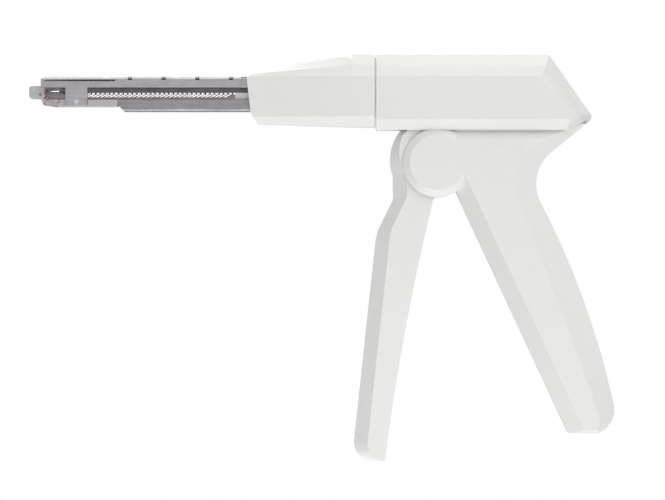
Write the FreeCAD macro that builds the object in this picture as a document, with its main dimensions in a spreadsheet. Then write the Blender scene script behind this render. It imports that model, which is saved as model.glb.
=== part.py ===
"""Skin stapler with a turning head: a pistol-shaped plastic housing with a squeeze trigger, and a slim steel
staple arm in a tapered head that turns about the barrel axis.

The origin is the working tip on the barrel axis. +X runs back along the barrel, +Y to the right, +Z up.
Sizes are in millimetres and degrees. The trigger is drawn open, at rest.
"""

import FreeCAD, Part
import math
import os

import Sketcher

SIZES = [
    # barrel of the housing
    ("seam_x", 110.5, "tip to the joint between head and housing"),
    ("seam_gap", 0.5, "open joint between head and housing"),
    ("crown_top", 12.6, "axis to the top of the barrel"),
    ("crown_half", 2.5, "half width of the flat top"),
    ("crown_drop", 3.5, "height of the upper bevel"),
    ("shoulder_half", 8.5, "half width where the two bevels meet"),
    ("shoulder_drop", 3.5, "height of the lower bevel"),
    ("barrel_half", 11.0, "half width of the barrel"),
    ("barrel_base", 11.5, "axis to the underside of the barrel"),
    ("skirt_rise", 3.3, "height of the bevel under the side face"),
    ("tail_top_x", 166.0, "tip to the rear end of the top edge"),
    ("tail_tip_x", 180.2, "tip to the rearmost corner of the barrel"),
    ("tail_tip_drop", 7.6, "axis down to that corner"),
    ("tail_bevel", 3.05, "width of each rear bevel"),
    ("tail_round", 0.28, "share of the rear corner that its rounding takes"),
    ("under_slope", 1.24, "forward run of the rear underside for each unit down"),
    ("plate_lap", 2.0, "plate's lap inside the barrel"),
    ("wall", 2.0, "wall of the housing"),
    ("parting", 0.05, "half of the gap between the two shells"),
    # pistol plate: boss and fixed grip
    ("pivot_x", 130.2, "tip to the trigger pivot"),
    ("pivot_drop", 21.9, "axis down to the trigger pivot"),
    ("boss_radius", 11.0, "round boss over the pivot"),
    ("boss_exit", 57.0, "angle below level where the boss meets the grip"),
    ("grip_half", 9.5, "half width of boss and grip"),
    ("grip_foot", 14.5, "heel forward to the front corner of the grip's end"),
    ("grip_base", 108.2, "axis down to the grip's end"),
    ("heel_inset", 5.2, "heel forward to the rear corner of the grip's end"),
    ("heel_x", 186.6, "rearmost point of the grip"),
    ("heel_rise", 8.7, "grip's end up to that point"),
    ("heel_radius", 8.0, "round of the heel"),
    ("back_radius", 260.0, "long curve of the grip's back"),
    ("web_x", 163.5, "lower end of the thumb saddle"),
    ("web_drop", 35.2, "axis down to it"),
    ("saddle_drop", 19.2, "axis down to the upper end of the thumb saddle"),
    ("saddle_radius", 13.2, "round of the thumb saddle"),
    ("rim_face", 4.8, "bevel down the front of the grip, across the face"),
    ("rim_back", 8.0, "bevel down its back, across the face"),
    ("rim_depth", 3.7, "both bevels, across the thickness"),
    ("boss_face", 2.2, "bevel round the boss, across the face"),
    ("boss_depth", 1.4, "the same bevel, across the thickness"),
    ("cheek_wall", 1.7, "wall of boss and grip"),
    ("post_radius", 1.7, "locating posts between the shells"),
    ("post_fit", 0.1, "clearance of a post in its socket"),
    # head bearing
    ("front_wall", 2.0, "front bulkhead of the housing"),
    ("collar_radius", 7.0, "bearing collar on the head"),
    ("collar_bore", 4.6, "hole through the collar"),
    ("flange_radius", 8.5, "flange that keeps the head in the housing"),
    ("flange_thick", 2.0, "thickness of the flange"),
    ("collar_proud", 0.4, "collar behind the second bulkhead"),
    ("collar_hold", 6.0, "depth of the collar's bore in the head"),
    ("bearing_gap", 0.08, "running clearance of the collar"),
    ("washer_thick", 0.3, "drag washer behind the flange"),
    ("end_play", 0.1, "play of the flange along the axis"),
    # trigger
    ("squeeze", 22.0, "full squeeze of the trigger"),
    ("lever_length", 22.0, "pivot to the lever's nose"),
    ("nose_radius", 3.0, "round nose of the lever"),
    ("lever_half", 2.0, "half thickness of the lever"),
    ("lever_neck", 1.7, "half width of the lever's neck"),
    ("pin_radius", 2.0, "trigger pivot pin"),
    ("pin_gap", 0.05, "running clearance of the pin"),
    ("hub_radius", 4.3, "trigger hub"),
    ("head_radius", 15.5, "round front of the trigger's head"),
    ("cheek_radius", 9.2, "round back of the trigger's head"),
    ("trigger_half", 7.4, "half width of the trigger"),
    ("trigger_wall", 1.7, "wall of the trigger"),
    ("throat_x", 116.2, "front of the trigger below its head"),
    ("throat_drop", 33.6, "axis down to it"),
    ("knuckle_x", 111.4, "front of the finger face, upper end"),
    ("knuckle_drop", 43.4, "axis down to it"),
    ("toe_x", 103.7, "front of the finger face, lower end"),
    ("toe_drop", 110.8, "axis down to it"),
    ("end_x", 113.5, "rear corner of the trigger's end"),
    ("trigger_base", 117.1, "axis down to the trigger's end"),
    ("rear_x", 129.0, "rear edge of the trigger, upper end"),
    ("rear_drop", 33.3, "axis down to it"),
    ("rear_radius", 750.0, "long curve of the trigger's rear edge"),
    ("finger_face", 4.4, "bevel beside the finger face, across the side"),
    ("finger_depth", 3.0, "the same bevel, across the front"),
    ("running_gap", 0.4, "clearance round moving plastic"),
    ("rib_thick", 1.4, "stiffening ribs"),
    ("rib_pitch", 13.0, "spacing of the trigger's ribs"),
    # drive slide
    ("slide_wall", 4.4, "slide in front of the lever slot"),
    ("slide_back", 5.2, "slide behind the lever slot"),
    ("slide_half", 6.0, "half width of the slide"),
    ("slide_top", 6.0, "axis to the top of the slide"),
    ("slide_base", 4.6, "axis down to the underside of the slide"),
    ("slot_gap", 0.1, "clearance of the lever's nose in the slide"),
    ("rail_half", 1.2, "half height of the guide rails"),
    ("rail_reach", 5.2, "axis across to the guide rails"),
    ("guide_gap", 0.15, "clearance of slide and rails"),
    # driver
    ("rod_radius", 1.6, "drive rod"),
    ("button_radius", 3.3, "button at the rod's rear end"),
    ("button_thick", 1.6, "thickness of the button"),
    ("button_gap", 0.12, "clearance of the button in the slide"),
    ("rod_front", 97.0, "tip to the rod's front end"),
    ("lap_length", 7.0, "lap of the rod under the driver"),
    ("driver_front", 10.2, "tip to the driver's front end at rest"),
    ("driver_half", 3.45, "half width of the driver"),
    ("driver_low", 0.62, "axis up to the driver's underside"),
    ("driver_thick", 1.4, "thickness of the driver"),
    ("rivet_radius", 0.8, "rivets of the driver and arm"),
    # head shells
    ("nose_lip_x", 68.0, "tip to the front lip of the head"),
    ("nose_top_x", 69.8, "tip to the front of the head's top"),
    ("nose_front_top", 7.3, "axis to the head's top at its front"),
    ("slope_x", 103.0, "tip to the start of the head's slope"),
    ("nose_lip_z", 5.4, "axis up to the lip"),
    ("nose_chin_x", 70.7, "tip to the head's chin, upper end"),
    ("nose_chin_drop", 5.9, "axis down to it"),
    ("nose_toe_x", 72.8, "tip to the head's chin, lower end"),
    ("nose_half", 7.8, "half width of the head at its front"),
    ("nose_shoulder", 5.9, "half width at the bevels there"),
    ("nose_edge", 7.3, "axis down to the lower edge of the side face"),
    ("nose_base_front", 9.4, "axis down to the underside at the front"),
    ("nose_base_rear", 10.5, "axis down to the underside at the joint"),
    ("nose_wall", 1.8, "wall of the head"),
    ("grip_rib", 5.4, "solid front of the head, round the arm"),
    ("mid_rib", 5.8, "rib of the head round the rear cross rivet"),
    ("back_rib", 3.65, "solid back of the head, at the collar"),
    # staple arm
    ("sheet", 0.6, "steel sheet of the arm"),
    ("fold", 0.9, "outer round of the folds"),
    ("arm_half", 4.3, "half width of the arm"),
    ("arm_half_height", 5.6, "axis to the top and underside of the arm"),
    ("arm_gap", 0.08, "clearance of the arm in the head"),
    ("arm_back", 88.0, "tip to the rear end of the arm"),
    ("top_front", 3.7, "tip to the front of the top rail"),
    ("top_back", 67.7, "tip to the rear of the top rail"),
    ("top_flange", 2.1, "axis up to the edge of the top rail's sides"),
    ("tang_length", 7.0, "tang of the top rail inside the head"),
    ("tang_half", 3.0, "half width of the tang"),
    ("notch_first", 31.5, "tip to the first notch of the top rail"),
    ("notch_pitch", 10.75, "spacing of the notches"),
    ("notch_length", 1.3, "length of a notch"),
    ("notch_depth", 1.1, "depth of a notch"),
    ("sight_length", 22.5, "long sight slot of the top rail"),
    ("sight_height", 0.5, "height of that slot"),
    ("sight_z", 4.1, "axis up to that slot"),
    ("post_front", 11.5, "tip to the side post of the top rail"),
    ("post_length", 7.1, "length of the side post"),
    ("channel_front", 28.2, "tip to the front of the lower channel"),
    ("channel_chamfer", 2.2, "slant of the channel's front"),
    ("channel_edge", 1.8, "axis down to the channel's side edge"),
    ("frame_floor", 4.0, "axis down to the front frame's floor"),
    ("frame_step", 3.5, "axis down to its shallow floor"),
    ("cheek_length", 4.9, "length of the guard cheeks"),
    ("cheek_top", 2.6, "axis to the top of the guard cheeks"),
    ("cheek_low", 1.4, "axis down to the underside of the cheeks"),
    ("anvil_front", 0.5, "tip to the anvil's lip"),
    ("anvil_lip", 0.7, "length of the anvil's lip"),
    ("anvil_top", 1.15, "axis up to the top of the lip"),
    ("anvil_shelf", 0.58, "axis up to the anvil's shelf"),
    ("anvil_half", 1.7, "half width of the anvil"),
    ("keel_front", 5.6, "tip to the front of the keel under the anvil"),
    ("anvil_back", 10.4, "tip to the rear of the anvil's shelf"),
    ("track_half", 2.75, "half width of the staple track"),
    ("track_top", 0.1, "axis down to the top of the track"),
    ("track_base", 3.3, "axis down to the underside of the track"),
    ("rivet_front_x", 15.0, "tip to the front cross rivet"),
    ("rivet_front_drop", 2.6, "axis down to it"),
    ("rivet_back_x", 86.2, "tip to the rear cross rivet"),
    ("rivet_back_drop", 2.1, "axis down to it"),
    ("rivet_grip", 1.1, "rear rivet's hold in the head, each side"),
    # staples and pusher
    ("staple_count", 34, "staples in the track behind the chambered one"),
    ("wire", 0.53, "staple wire"),
    ("staple_half", 3.45, "half of the staple's crown"),
    ("leg_length", 3.9, "staple leg"),
    ("staple_bend", 0.75, "outer round of the staple's corners"),
    ("staple_lean", 24.0, "lean of the staples in the track"),
    ("staple_pitch", 1.46, "spacing of the staples in the track"),
    ("staple_height", 0.33, "axis up to a leaning crown"),
    ("row_front", 17.0, "tip to the first leaning crown"),
    ("chamber_height", 0.9, "axis up to the chambered staple"),
    ("chamber_gap", 0.06, "chambered staple to driver"),
    ("pusher_length", 5.0, "length of the staple pusher"),
    ("pusher_half", 3.5, "half width of the pusher"),
    ("pusher_top", 0.5, "axis up to the pusher's top"),
    ("pusher_gap", 0.08, "clearance of the pusher on the track"),
    ("foot_length", 2.0, "length of the pusher's foot"),
    # springs
    ("coil_radius", 5.25, "return spring, to the wire's centre"),
    ("coil_wire", 0.8, "return spring wire"),
    ("coil_turns", 3.25, "turns of the return spring"),
    ("coil_pitch", 0.82, "spacing of its turns"),
    ("coil_start", 2.45, "mid plane to its first turn"),
    ("leg_up", 7.6, "its leg back to the housing"),
    ("leg_down", 13.0, "its leg down the trigger"),
    ("feed_radius", 1.0, "pusher spring, to the wire's centre"),
    ("feed_wire", 0.35, "pusher spring wire"),
    ("feed_turns", 11.0, "turns of the pusher spring"),
]

doc = FreeCAD.newDocument("skin_stapler")
sheet = doc.addObject("Spreadsheet::Sheet", "Sizes")
for row, (alias, value, note) in enumerate(SIZES, start=1):
    sheet.set(f"A{row}", note)
    sheet.set(f"B{row}", str(value))
    sheet.setAlias(f"B{row}", alias)
doc.recompute()


class Size:
    """A number with the expression that gives it, so that a sketch or feature can be bound to the sheet."""

    def __init__(self, value, text):
        self.value = float(value)
        self.text = text

    @staticmethod
    def of(other):
        return other if isinstance(other, Size) else Size(other, repr(float(other)))

    def __add__(self, other):
        other = Size.of(other)
        return Size(self.value + other.value, f"({self.text} + {other.text})")

    def __radd__(self, other):
        return Size.of(other) + self

    def __sub__(self, other):
        other = Size.of(other)
        return Size(self.value - other.value, f"({self.text} - {other.text})")

    def __rsub__(self, other):
        return Size.of(other) - self

    def __mul__(self, other):
        other = Size.of(other)
        return Size(self.value * other.value, f"({self.text} * {other.text})")

    def __rmul__(self, other):
        return Size.of(other) * self

    def __truediv__(self, other):
        other = Size.of(other)
        return Size(self.value / other.value, f"({self.text} / {other.text})")

    def __neg__(self):
        return Size(-self.value, f"(-1 * {self.text})")


def sine(angle):
    angle = Size.of(angle)
    return Size(math.sin(math.radians(angle.value)), f"sin({angle.text})")


def cosine(angle):
    angle = Size.of(angle)
    return Size(math.cos(math.radians(angle.value)), f"cos({angle.text})")


def root(number):
    return Size(math.sqrt(number.value), f"sqrt({number.text})")


class Sheet:
    """The sheet's cells by name: at.wall is the wall, with its expression."""

    def __getattr__(self, name):
        return Size(sheet.get(name), f"Sizes.{name}")


at = Sheet()


def on_circle(centre, radius, angle):
    return centre[0] + radius * cosine(angle), centre[1] + radius * sine(angle)


class Piece:
    """One sub-part: a PartDesign body with a few calls for the features used here."""

    def __init__(self, label):
        self.label = label
        self.body = doc.addObject("PartDesign::Body", label)
        self.body.Label = label
        self.body.AllowCompound = True
        self.count = 0

    def origin(self, role):
        return next(o for o in self.body.Origin.OriginFeatures if o.Role == role)

    def new(self, kind, name):
        self.count += 1
        return self.body.newObject(kind, f"{self.label}_{name}_{self.count}")

    def sketch(self, plane, offset=0, shift=(0, 0)):
        """An empty sketch on an origin plane, moved along its normal by offset and in the plane by shift."""
        made = self.new("Sketcher::SketchObject", "sketch")
        made.AttachmentSupport = [(self.origin(plane), "")]
        made.MapMode = "FlatFace"
        across, up, offset = (Size.of(v) for v in (*shift, offset))
        made.AttachmentOffset = FreeCAD.Placement(
            FreeCAD.Vector(across.value, up.value, offset.value), FreeCAD.Rotation()
        )
        for axis, size in (("x", across), ("y", up), ("z", offset)):
            if "Sizes" in size.text:
                made.setExpression(f"AttachmentOffset.Base.{axis}", size.text)
        return made

    def side_sketch(self, y=0):
        """A sketch seen from the left, in X and Z, at the given Y. The XZ plane's normal points to -Y."""
        return self.sketch("XZ_Plane", -Size.of(y))

    def end_sketch(self, x=0):
        """A sketch in Y and Z at the given X."""
        return self.sketch("YZ_Plane", x)

    def extrude(self, kind, profile, length, towards=None, both=False):
        """Pads or pockets a sketch along its normal (towards 1), against it (towards -1) or both ways."""
        before = self.volume()
        made = self.new(kind, kind.split("::")[1].lower())
        made.Profile = profile
        length = Size.of(length)
        made.Length = length.value
        if "Sizes" in length.text:
            made.setExpression("Length", length.text)
        if both:
            made.SideType = "Symmetric"
        else:
            along_normal = towards == 1
            made.Reversed = along_normal if kind.endswith("Pocket") else not along_normal
        profile.Visibility = False
        doc.recompute()
        change = self.volume() - before
        if (change > -1e-6) if kind.endswith("Pocket") else (change < 1e-6):
            raise RuntimeError(f"{made.Name} changes nothing")
        return made

    def pad(self, profile, length, towards=1, both=False):
        return self.extrude("PartDesign::Pad", profile, length, towards, both)

    def pocket(self, profile, length, towards=1, both=False):
        return self.extrude("PartDesign::Pocket", profile, length, towards, both)

    def loft(self, kind, sections):
        made = self.new(f"PartDesign::{kind}", "loft")
        made.Profile = sections[0]
        made.Sections = [(other, "") for other in sections[1:]]
        made.Ruled = True
        doc.recompute()
        return made

    def revolve(self, profile, axis="X_Axis", kind="Revolution"):
        made = self.new(f"PartDesign::{kind}", "turned")
        made.Profile = profile
        made.ReferenceAxis = (self.origin(axis), [""])
        made.Angle = 360.0
        doc.recompute()
        return made

    def helix(self, profile, axis, pitch, turns):
        made = self.new("PartDesign::AdditiveHelix", "coil")
        made.Profile = profile
        made.ReferenceAxis = (profile, [axis])
        made.Mode = "pitch-turns-angle"
        for prop, size in (("Pitch", pitch), ("Turns", turns)):
            setattr(made, prop, size.value)
            made.setExpression(prop, size.text)
        doc.recompute()
        return made

    def volume(self):
        shape = self.body.Shape
        return 0.0 if shape.isNull() else shape.Volume


def place(profile, geometry, where, x, z):
    """Fixes one point of a sketch's geometry at x, z, bound to the sheet."""
    for kind, size in (("DistanceX", Size.of(x)), ("DistanceY", Size.of(z))):
        index = profile.addConstraint(
            Sketcher.Constraint(kind, -1, 1, geometry, where, size.value)
        )
        if "Sizes" in size.text:
            profile.setExpression(f"Constraints[{index}]", size.text)


def outline(profile, *steps):
    """A closed outline. A step is (x, z) for a straight run to that point, or (x, z, radius) for an arc:
    the arc turns left with a positive radius and right with a negative one."""
    points = [tuple(Size.of(v) for v in step[:2]) for step in steps]
    first = profile.GeometryCount
    ends = []
    for i, step in enumerate(steps):
        start = FreeCAD.Vector(points[i - 1][0].value, points[i - 1][1].value, 0)
        end = FreeCAD.Vector(points[i][0].value, points[i][1].value, 0)
        if len(step) == 2:
            profile.addGeometry(Part.LineSegment(start, end))
            ends.append((1, 2))
            continue
        radius = Size.of(step[2])
        chord = end - start
        left = FreeCAD.Vector(-chord.y, chord.x, 0).normalize()
        rise = math.sqrt(max(radius.value**2 - (chord.Length / 2) ** 2, 0.0))
        turns_left = radius.value > 0
        centre = (start + end) / 2 + left * (rise if turns_left else -rise)
        circle = Part.Circle(centre, FreeCAD.Vector(0, 0, 1), abs(radius.value))
        begin, finish = (start, end) if turns_left else (end, start)
        profile.addGeometry(
            Part.ArcOfCircle(circle, circle.parameter(begin), circle.parameter(finish))
        )
        ends.append((1, 2) if turns_left else (2, 1))
    for i, (start_at, end_at) in enumerate(ends):
        following = (i + 1) % len(ends)
        profile.addConstraint(
            Sketcher.Constraint(
                "Coincident", first + i, end_at, first + following, ends[following][0]
            )
        )
        place(profile, first + i, end_at, *points[i])
        if len(steps[i]) == 3:
            radius = Size.of(steps[i][2])
            size = radius if radius.value > 0 else -radius
            index = profile.addConstraint(
                Sketcher.Constraint("Radius", first + i, size.value)
            )
            if "Sizes" in size.text:
                profile.setExpression(f"Constraints[{index}]", size.text)
    return profile


def box(profile, x0, x1, z0, z1):
    return outline(profile, (x1, z0), (x1, z1), (x0, z1), (x0, z0))


def circle(profile, x, z, radius):
    x, z, radius = (Size.of(v) for v in (x, z, radius))
    number = profile.GeometryCount
    profile.addGeometry(
        Part.Circle(FreeCAD.Vector(x.value, z.value, 0), FreeCAD.Vector(0, 0, 1), radius.value)
    )
    place(profile, number, 3, x, z)
    index = profile.addConstraint(Sketcher.Constraint("Radius", number, radius.value))
    profile.setExpression(f"Constraints[{index}]", radius.text)
    return profile


# Measures that several pieces share

body_front = at.seam_x + at.seam_gap / 2
head_back = at.seam_x - at.seam_gap / 2
pivot = (at.pivot_x, -at.pivot_drop)
bay_front = body_front + at.front_wall
bay_back = bay_front + at.flange_thick + 2 * at.end_play + at.washer_thick
bulkhead_back = bay_back + at.front_wall
collar_back = bulkhead_back + at.collar_proud
plate_top = at.plate_lap - at.barrel_base
saddle_x = at.tail_tip_x - (at.saddle_drop - at.tail_tip_drop) * at.under_slope
grip_toe_x = at.heel_x - at.grip_foot
grip_heel_x = at.heel_x - at.heel_inset
heel_drop = at.grip_base - at.heel_rise
lever_angle = 90 - at.squeeze / 2
lever_tip = on_circle(pivot, at.lever_length, lever_angle)
slot_front = lever_tip[0] - at.nose_radius - at.slot_gap
slot_back = lever_tip[0] + at.nose_radius + at.slot_gap
slide_front = slot_front - at.slide_wall
slide_back = slot_back + at.slide_back
inner_half = at.arm_half - at.sheet
last_crown = at.row_front + at.staple_pitch * (at.staple_count - 1)
pusher_front = last_crown + at.wire
feed_z = -(at.track_top + at.sheet + 1.4)
rear_run = at.tail_tip_x - at.tail_top_x
rear_fall = at.crown_top + at.tail_tip_drop
rear_length = root(rear_run * rear_run + rear_fall * rear_fall)


def half_disc(profile, side, radius):
    """Half of a disc about the barrel axis, on one side of the parting gap."""
    across = side * at.parting
    up = root(radius * radius - at.parting * at.parting)
    return outline(profile, (across, side * up, radius), (across, -side * up))


def barrel_end(z, inset):
    """Where the barrel's sloping rear lies at height z, moved forward square to itself by inset."""
    return at.tail_top_x + ((at.crown_top - z) * rear_run - inset * rear_length) / rear_fall


def barrel_outline(profile, front, top, inset, base):
    """Side outline of the barrel at one distance from the middle."""
    tip = -at.tail_tip_drop
    tail = barrel_end(tip, inset)
    drop = (tip - base) * at.tail_round
    blunt = drop * root(at.under_slope * at.under_slope + 1)
    above = tip + blunt * rear_fall / rear_length
    return outline(
        profile,
        (front, base),
        (tail + (base - tip) * at.under_slope, base),
        (tail - drop * at.under_slope, tip - drop),
        (barrel_end(above, inset), above, blunt * 1.07),
        (barrel_end(top, inset), top),
        (front, top),
    )


def barrel_core(piece, side, front, back=None):
    """Hollows the barrel from front to back, or to its sloping rear."""
    steps = (
        (at.parting, at.crown_top - at.wall, at.wall, at.barrel_base - at.wall),
        (at.crown_half - at.wall * 0.275, at.crown_top - at.wall, at.wall, at.barrel_base - at.wall),
        (
            at.shoulder_half - at.wall * 0.69,
            at.crown_top - at.crown_drop - at.wall * 0.755,
            at.wall + at.tail_bevel * 0.8,
            at.barrel_base - at.wall,
        ),
        (
            at.barrel_half - at.wall,
            at.crown_top - at.crown_drop - at.shoulder_drop - at.wall * 0.32,
            at.wall * 0.6 + at.tail_bevel * 2,
            at.barrel_base - at.skirt_rise - at.wall * 0.2,
        ),
    )
    sections = []
    for across, top, inset, drop in steps:
        profile = piece.side_sketch(side * across)
        if back is None:
            barrel_outline(profile, front, top, inset, -drop)
        else:
            box(profile, front, back, -drop, top)
        sections.append(profile)
    piece.loft("SubtractiveLoft", sections)


def grip_front(z, inset):
    """Where the grip's straight front edge lies at height z, moved back square to itself by inset."""
    exit_x, exit_z = on_circle(pivot, at.boss_radius, -at.boss_exit)
    lean = (grip_toe_x - exit_x) / (at.grip_base + exit_z)
    return exit_x + (exit_z - z) * lean + inset * root(lean * lean + 1)


def plate_outline(profile, front, back):
    """Side outline of the plate from the barrel down the grip, inset at front and back, straighter inside."""
    top = plate_top - front * 1.25
    low = front * 0.2 - at.grip_base
    return outline(
        profile,
        (grip_front(low, front), low),
        (grip_heel_x - back * 0.07, low),
        (at.heel_x - back * 0.6, -heel_drop - back * 0.5, at.heel_radius - back * 0.4),
        (at.web_x - back * 0.87, -at.web_drop - back * 0.1, at.back_radius + back * 100),
        (saddle_x - back * 1.1, -at.saddle_drop + back * 0.2, -at.saddle_radius - back * 0.75),
        (saddle_x + (top + at.saddle_drop) * at.under_slope - back * 1.35, top),
        (grip_front(top, front), top),
    )


def housing_shell(label, side):
    """One moulded half of the housing: barrel, boss round the trigger's pivot, and fixed grip."""
    piece = Piece(label)
    out = -side
    face = side * at.parting

    # plate of the grip, bevelled all round
    edge = at.grip_half - at.rim_depth
    piece.pad(plate_outline(piece.side_sketch(face), Size.of(0), Size.of(0)), edge - at.parting, out)
    piece.loft(
        "AdditiveLoft",
        [
            plate_outline(piece.side_sketch(side * edge), Size.of(0), Size.of(0)),
            plate_outline(piece.side_sketch(side * at.grip_half), at.rim_face, at.rim_back),
        ],
    )

    # round boss over the pivot
    edge = at.grip_half - at.boss_depth
    piece.pad(circle(piece.side_sketch(face), *pivot, at.boss_radius), edge - at.parting, out)
    piece.loft(
        "AdditiveLoft",
        [
            circle(piece.side_sketch(side * edge), *pivot, at.boss_radius),
            circle(piece.side_sketch(side * at.grip_half), *pivot, at.boss_radius - at.boss_face),
        ],
    )

    # barrel
    sections = []
    shoulder = at.crown_top - at.crown_drop
    for across, top, inset, base in (
        (at.parting, at.crown_top, Size.of(0), -at.barrel_base),
        (at.crown_half, at.crown_top, Size.of(0), -at.barrel_base),
        (at.shoulder_half, shoulder, at.tail_bevel, -at.barrel_base),
        (at.barrel_half, shoulder - at.shoulder_drop, at.tail_bevel * 2, -at.barrel_base + at.skirt_rise),
    ):
        profile = piece.side_sketch(side * across)
        sections.append(barrel_outline(profile, body_front, top, inset, base))
    piece.loft("AdditiveLoft", sections)
    barrel_core(piece, side, bay_front, bay_back)
    barrel_core(piece, side, bulkhead_back)

    # bore for the head's collar
    profile = piece.end_sketch(body_front - 1)
    circle(profile, 0, 0, at.collar_radius + at.bearing_gap)
    piece.pocket(profile, bulkhead_back - body_front + 2, 1)

    # room for the trigger's head between the cheeks of the boss
    sweep = at.head_radius + at.running_gap
    hub_room = at.cheek_radius + 0.5
    entry_z = -at.barrel_base - 0.4
    entry_x = pivot[0] - root(sweep * sweep - (entry_z - pivot[1]) * (entry_z - pivot[1]))
    exit_x, exit_z = on_circle(pivot, at.boss_radius, -at.boss_exit)
    floor = pivot[1] - at.boss_radius - 4
    profile = piece.side_sketch(0)
    outline(
        profile,
        (pivot[0] + hub_room, pivot[1], -hub_room),
        (*on_circle(pivot, hub_room, -45), -hub_room),
        (exit_x + 0.1, exit_z - 0.3),
        (pivot[0] + 6.6, floor),
        (pivot[0] - 19, floor),
        (pivot[0] - 19, entry_z),
        (entry_x, entry_z),
        (*on_circle(pivot, sweep, 108), -sweep),
        (*on_circle(pivot, hub_room, 104),),
    )
    piece.pocket(profile, at.trigger_half + at.running_gap, out)

    # slot in the barrel floor for the lever
    reach = at.pivot_drop - at.barrel_base + at.wall
    half = reach * sine(at.squeeze / 2) + at.lever_neck + at.running_gap * 2
    profile = piece.side_sketch(0)
    box(profile, pivot[0] - half, pivot[0] + half, pivot[1] + hub_room - 2, at.wall + 1 - at.barrel_base)
    piece.pocket(profile, at.lever_half + at.running_gap * 2, out)

    # hollow grip
    wall_x = at.rim_face + 0.2
    floor = -at.grip_base + 4.0
    front_low = grip_toe_x + wall_x * 0.62
    ceiling = plate_top - 6.3
    heel_inside = at.heel_x - at.rim_back
    web_inside = at.web_x - at.rim_back * 0.9
    profile = piece.side_sketch(0)
    outline(
        profile,
        (pivot[0] + at.boss_radius + 1.8, ceiling),
        (pivot[0] + at.boss_radius + 1.8, exit_z - 1.5),
        (front_low, floor),
        (heel_inside - 0.6, floor),
        (heel_inside, -heel_drop + 1.0),
        (web_inside, -at.web_drop - 1.6),
        (web_inside - 1.0, -at.web_drop + 0.8),
        (web_inside - 1.0, ceiling),
    )
    piece.pocket(profile, at.grip_half - at.cheek_wall, out)
    profile = piece.side_sketch(0)
    outline(
        profile,
        (web_inside - 1.0, -at.web_drop - 1.6),
        (heel_inside - 1.0, -heel_drop + 1.0),
        (at.heel_x - 3.6, -heel_drop + 1.0),
        (at.web_x - 2.2, -at.web_drop - 1.6, at.back_radius - 4),
    )
    piece.pocket(profile, at.grip_half - at.rim_depth - 1.4, out)

    # ribs across the grip
    lean = (grip_toe_x - exit_x) / (at.grip_base + exit_z)
    profile = piece.side_sketch(side * 1.2)
    for step in range(4):
        height = -at.web_drop - 8.0 - 15.5 * step
        start = exit_x + (exit_z - height) * lean + 5.2
        end = web_inside + (-at.web_drop - height) * 0.36 + 0.6
        box(profile, start, end, height - at.rib_thick / 2, height + at.rib_thick / 2)
    piece.pad(profile, at.grip_half - at.cheek_wall - 0.6, out)

    # rails for the drive slide
    profile = piece.side_sketch(side * at.rail_reach)
    box(profile, collar_back + at.running_gap, slide_back + 7, -at.rail_half, at.rail_half)
    piece.pad(profile, at.barrel_half - at.rail_reach - 1.0, out)

    # blind seat of the pivot pin
    profile = piece.side_sketch(0)
    circle(profile, *pivot, at.pin_radius)
    piece.pocket(profile, at.grip_half - 0.6, out)

    # posts of one shell, sockets of the other
    slim = at.post_radius * 1.5
    stem = at.post_radius * 1.6
    low_posts = (
        (at.web_x - 12.5, -at.web_drop + 10.5),
        (at.web_x - 6.0, -at.web_drop - 15.5),
        (at.heel_x - 9.6, -heel_drop + 1.3),
    )
    front_post = (at.seam_x + 12.5, at.slide_top + at.running_gap + slim)
    back_post = (at.seam_x + 43, at.slide_top - 1.5)
    base = side * stem if side < 0 else at.parting
    for posts, reach in (
        ((front_post,), at.crown_half + 1.2),
        ((back_post,), at.barrel_half - 1.2),
        (low_posts, at.grip_half - 1.0),
    ):
        profile = piece.side_sketch(base)
        for x, z in posts:
            circle(profile, x, z, slim)
        piece.pad(profile, reach - (stem if side < 0 else at.parting), out)
    profile = piece.side_sketch(stem if side < 0 else 0)
    for x, z in (front_post, back_post, *low_posts):
        circle(profile, x, z, at.post_radius if side < 0 else at.post_radius + at.post_fit)
    if side < 0:
        piece.pad(profile, at.post_radius * 3.4, out)
    else:
        piece.pocket(profile, stem + 0.3, out)
    return piece


def between(low, high, x):
    """A size that runs straight from low at the head's front to high at the start of its slope."""
    return low + (high - low) * (x - at.nose_top_x) / (at.slope_x - at.nose_top_x)


def head_outline(piece, side, x, inset, level=False):
    """Half of the head's cross section at X, on one side of the parting gap."""
    here = at.slope_x if level else x
    shoulder = at.crown_top - at.crown_drop
    face = side * at.parting
    top = between(at.nose_front_top, at.crown_top, here) - inset
    half = side * (between(at.nose_half, at.barrel_half, here) - inset)
    base = -between(at.nose_base_front, at.nose_base_rear, here) + inset
    return outline(
        piece.end_sketch(x),
        (face, top),
        (side * (between(at.crown_half - 0.6, at.crown_half, here) - inset * 0.275), top),
        (
            side * (between(at.nose_shoulder, at.shoulder_half, here) - inset * 0.69),
            between(at.nose_front_top - 1.0, shoulder, here) - inset * 0.755,
        ),
        (half, between(at.nose_lip_z, shoulder - at.shoulder_drop, here) - inset * 0.32),
        (half, -at.nose_edge + inset * 0.4),
        (side * (between(at.nose_shoulder, at.shoulder_half - 0.3, here) - inset * 0.3), base),
        (face, base),
    )


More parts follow.
